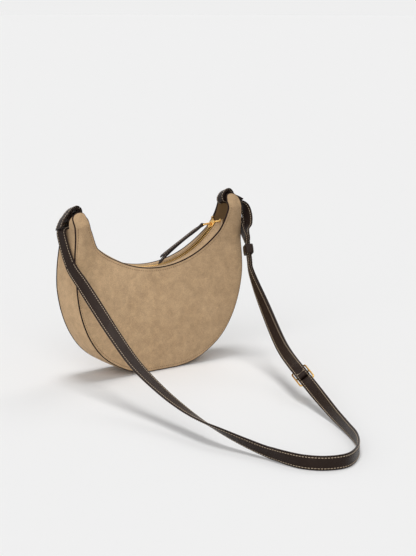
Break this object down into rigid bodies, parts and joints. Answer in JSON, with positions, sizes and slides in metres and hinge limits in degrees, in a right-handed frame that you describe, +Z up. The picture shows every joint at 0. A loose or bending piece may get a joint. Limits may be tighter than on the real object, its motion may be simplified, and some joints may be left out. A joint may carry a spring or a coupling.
{
  "type": "shoulder bag",
  "caption": "Half moon shoulder bag with a curved zip between two horns, and a long adjustable strap that loops through the horns and lies on the ground in front",
  "frame": {"origin": "centre of the flat base, on the ground the bag stands on", "axes": "+X along the width to the horn with the closed zip slider, +Y towards the back, +Z up; the strap lies in front of the bag, towards -Y"},
  "size_m": [0.2908, 0.4729, 0.2253],
  "materials": {
    "suede": "matte napped sand-brown suede",
    "edge": "dark brown painted edge",
    "lining": "matt dark olive-brown twill",
    "tape": "woven sand-brown tape",
    "gold": "polished gold-coloured metal",
    "leather": "pebbled dark brown leather, slightly glossy",
    "steel": "plain steel",
    "board": "stiff board covered in cloth"
  },
  "bodies": {
    "bag": {"front_panel": "suede", "back_panel": "suede", "gusset": "suede", "front_edge_trim": "edge", "back_edge_trim": "edge", "front_facing": "suede", "back_facing": "suede", "front_zip_tape": "tape", "back_zip_tape": "tape", "front_zip_teeth": "gold", "back_zip_teeth": "gold", "zip_stops": "gold", "front_lining": "lining", "back_lining": "lining", "gusset_lining": "lining", "base_board": "board", "slip_pocket": "lining", "left_horn_web": "lining", "right_horn_web": "lining", "left_strap_bar": "steel", "right_strap_bar": "steel", "left_strap_loop": "leather", "right_strap_loop": "leather"},
    "zip_slider": {"zip_slider": "gold"},
    "puller_link": {"puller_link": "gold"},
    "zip_pull": {"zip_pull": "leather"},
    "strap": {"long_strap": "leather", "short_strap": "leather", "left_sewn_end": "leather", "right_sewn_end": "leather", "buckle_frame": "gold"},
    "keeper": {"keeper": "leather"}
  },
  "joints": [
    {"name": "zip_travel", "type": "hinge", "parent": "bag", "child": "zip_slider", "pos_m": [0, 0, 0.259], "axis": [0, 1, 0], "range_deg": [0, 60]},
    {"name": "link_swing", "type": "hinge", "parent": "zip_slider", "child": "puller_link", "pos_m": [0.09417, 0, 0.18129], "axis": [0, 1, 0], "range_deg": [0, 60]},
    {"name": "pull_swing", "type": "hinge", "parent": "puller_link", "child": "zip_pull", "pos_m": [0.08119, 0, 0.18061], "axis": [0, 1, 0], "range_deg": [0, 60]},
    {"name": "strap_swing", "type": "hinge", "parent": "bag", "child": "strap", "pos_m": [0, 0, 0.21], "axis": [-1, 0, 0], "range_deg": [0, 115]},
    {"name": "keeper_slide", "type": "slide", "parent": "strap", "child": "keeper", "axis": [-0.1291, -0.3641, -0.9224], "range_m": [0, 0.01]}
  ]
}
